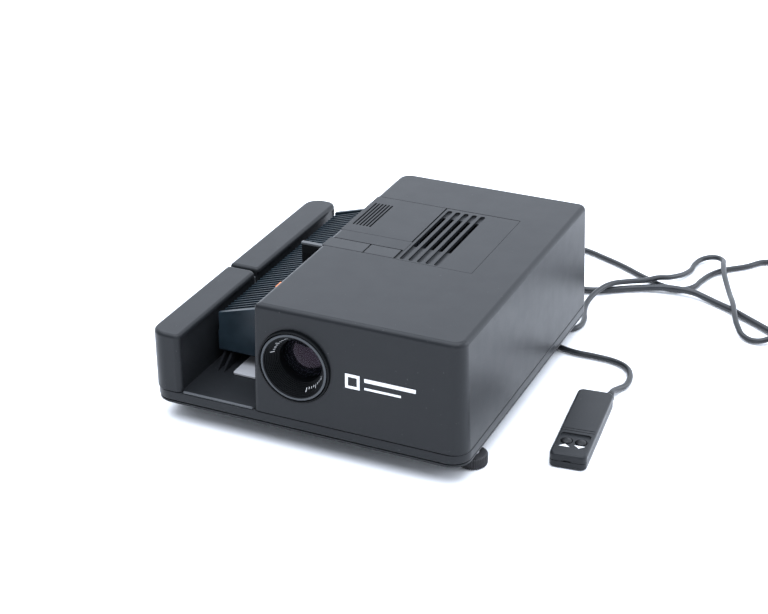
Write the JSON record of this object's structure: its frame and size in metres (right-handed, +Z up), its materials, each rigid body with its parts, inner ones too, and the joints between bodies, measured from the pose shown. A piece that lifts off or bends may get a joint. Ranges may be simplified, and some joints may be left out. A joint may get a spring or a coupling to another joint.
{
  "type": "slide projector",
  "caption": "Straight-tray slide projector with a focusing lens, sliding tray, changer arm, hinged lamp cover and a wired two-button handset.",
  "frame": {"origin": "on the standing surface, under the middle of the projector and its handset together", "axes": "+Z up, -Y the way the lens looks, +X towards the handset side"},
  "size_m": [0.5355, 0.4837, 0.121],
  "materials": {
    "housing_plastic": "fine moulded grain, satin",
    "key_plastic": "fine grain, satin",
    "black_plastic": "satin",
    "tray_plastic": "polished smoky blue",
    "rubber": "matte",
    "grey_plastic": "satin",
    "steel": "brushed",
    "bright_metal": "polished",
    "glass": "polished, coated",
    "mirror": "polished",
    "board": "printed circuit board",
    "ceramic": "fired ceramic"
  },
  "bodies": {
    "housing": {"base_pan": "housing_plastic", "tray_channel_floor": "housing_plastic", "wing_front_cover": "housing_plastic", "wing_rear_cover": "housing_plastic", "housing_shell": "housing_plastic", "grille_panel": "housing_plastic", "handset_base": "housing_plastic", "handset_top": "housing_plastic", "lens_port_ring": "black_plastic", "fan_shroud": "black_plastic", "mains_strain_relief": "black_plastic", "remote_socket": "black_plastic", "remote_plug": "black_plastic", "mains_plug": "black_plastic", "handset_cord_sleeve": "black_plastic", "rear_foot_left": "rubber", "rear_foot_right": "rubber", "remote_cord_front": "rubber", "remote_cord_back": "rubber", "remote_cord_coil": "rubber", "mains_cord": "rubber", "mains_cord_coil": "rubber", "tray_channel_plate": "grey_plastic", "tray_guide_pin": "grey_plastic", "guide_rod_lower": "steel", "guide_rod_upper": "steel", "focus_motor": "steel", "slide_gate": "steel", "lamp_house": "steel", "fan_motor": "steel", "transformer": "steel", "changer_motor": "steel", "lamp_reflector": "bright_metal", "condenser_front": "glass", "condenser_rear": "glass", "heat_filter": "glass", "halogen_lamp": "glass", "cold_mirror": "mirror", "control_board": "board", "lamp_socket": "ceramic"},
    "foot_left_spindle": {"front_foot_left_spindle": "grey_plastic"},
    "foot_left_wheel": {"front_foot_left_wheel": "rubber"},
    "foot_right_spindle": {"front_foot_right_spindle": "grey_plastic"},
    "foot_right_wheel": {"front_foot_right_wheel": "rubber"},
    "lens": {"lens_carriage": "black_plastic", "lens_barrel": "black_plastic", "lens_front_element": "glass", "lens_rear_element": "glass"},
    "focus_pinion": {"focus_pinion": "grey_plastic"},
    "tray": {"slide_tray": "tray_plastic"},
    "tray_pinion": {"tray_pinion": "grey_plastic"},
    "changer": {"changer_arm": "steel"},
    "changer_pinion": {"changer_pinion": "grey_plastic"},
    "lamp_cover": {"lamp_cover": "housing_plastic"},
    "key_forward": {"key_forward": "key_plastic"},
    "key_reverse": {"key_reverse": "key_plastic"},
    "fan": {"fan_impeller": "black_plastic"},
    "power_switch": {"power_switch": "black_plastic"},
    "button_up": {"handset_button_up": "black_plastic"},
    "button_down": {"handset_button_down": "black_plastic"}
  },
  "joints": [
    {"name": "foot_left_travel", "type": "slide", "parent": "housing", "child": "foot_left_spindle", "axis": [0, 0, 1], "range_m": [-0.008, 0.0055]},
    {"name": "foot_left_turn", "type": "hinge", "parent": "foot_left_spindle", "child": "foot_left_wheel", "pos_m": [-0.16181, -0.1035, 0.005], "axis": [0, 0, 1], "range_deg": [-580, 400]},
    {"name": "foot_right_travel", "type": "slide", "parent": "housing", "child": "foot_right_spindle", "axis": [0, 0, 1], "range_m": [-0.008, 0.0055]},
    {"name": "foot_right_turn", "type": "hinge", "parent": "foot_right_spindle", "child": "foot_right_wheel", "pos_m": [0.09019, -0.1035, 0.005], "axis": [0, 0, 1], "range_deg": [-580, 400]},
    {"name": "lens_focus", "type": "slide", "parent": "housing", "child": "lens", "axis": [0, -1, 0], "range_m": [-0.004, 0.01]},
    {"name": "focus_pinion_turn", "type": "hinge", "parent": "housing", "child": "focus_pinion", "pos_m": [-0.00601, -0.1025, 0.078], "axis": [0, 0, 1], "range_deg": [-40, 97]},
    {"name": "tray_feed", "type": "slide", "parent": "housing", "child": "tray", "axis": [0, 1, 0], "range_m": [-0.135, 0.065]},
    {"name": "tray_pinion_turn", "type": "hinge", "parent": "housing", "child": "tray_pinion", "pos_m": [-0.09081, 0.0065, 0.035], "axis": [0, 0, 1], "range_deg": [-380, 780]},
    {"name": "changer_stroke", "type": "slide", "parent": "housing", "child": "changer", "axis": [1, 0, 0], "range_m": [-0.045, 0.025]},
    {"name": "changer_pinion_turn", "type": "hinge", "parent": "housing", "child": "changer_pinion", "pos_m": [-0.00281, -0.0125, 0.0987], "axis": [0, 1, 0], "range_deg": [-220, 125]},
    {"name": "lamp_cover_hinge", "type": "hinge", "parent": "housing", "child": "lamp_cover", "pos_m": [0.02349, 0.0799, 0.1188], "axis": [-1, 0, 0], "range_deg": [0, 75]},
    {"name": "key_forward_press", "type": "slide", "parent": "housing", "child": "key_forward", "axis": [0, 0, -1], "range_m": [0, 0.0018], "stiffness_N_per_m": 300, "springref_m": -0.001},
    {"name": "key_reverse_press", "type": "slide", "parent": "housing", "child": "key_reverse", "axis": [0, 0, -1], "range_m": [0, 0.0018], "stiffness_N_per_m": 300, "springref_m": -0.001},
    {"name": "fan_spin", "type": "hinge", "parent": "housing", "child": "fan", "pos_m": [0.06319, 0.0345, 0.074], "axis": [1, 0, 0], "continuous": true},
    {"name": "power_switch_rock", "type": "hinge", "parent": "housing", "child": "power_switch", "pos_m": [0.06119, 0.1405, 0.0665], "axis": [1, 0, 0], "range_deg": [-6, 6]},
    {"name": "handset_button_up_press", "type": "slide", "parent": "housing", "child": "button_up", "axis": [0, 0, -1], "range_m": [0, 0.0015], "stiffness_N_per_m": 300, "springref_m": -0.001},
    {"name": "handset_button_down_press", "type": "slide", "parent": "housing", "child": "button_down", "axis": [0, 0, -1], "range_m": [0, 0.0015], "stiffness_N_per_m": 300, "springref_m": -0.001}
  ],
  "couplings": [
    {"joint": "foot_left_turn", "follows": "foot_left_travel", "rad_per_m": 1256.6},
    {"joint": "foot_right_turn", "follows": "foot_right_travel", "rad_per_m": 1256.6},
    {"joint": "focus_pinion_turn", "follows": "lens_focus", "rad_per_m": 166.67},
    {"joint": "tray_pinion_turn", "follows": "tray_feed", "rad_per_m": -100},
    {"joint": "changer_pinion_turn", "follows": "changer_stroke", "rad_per_m": 83.333}
  ]
}
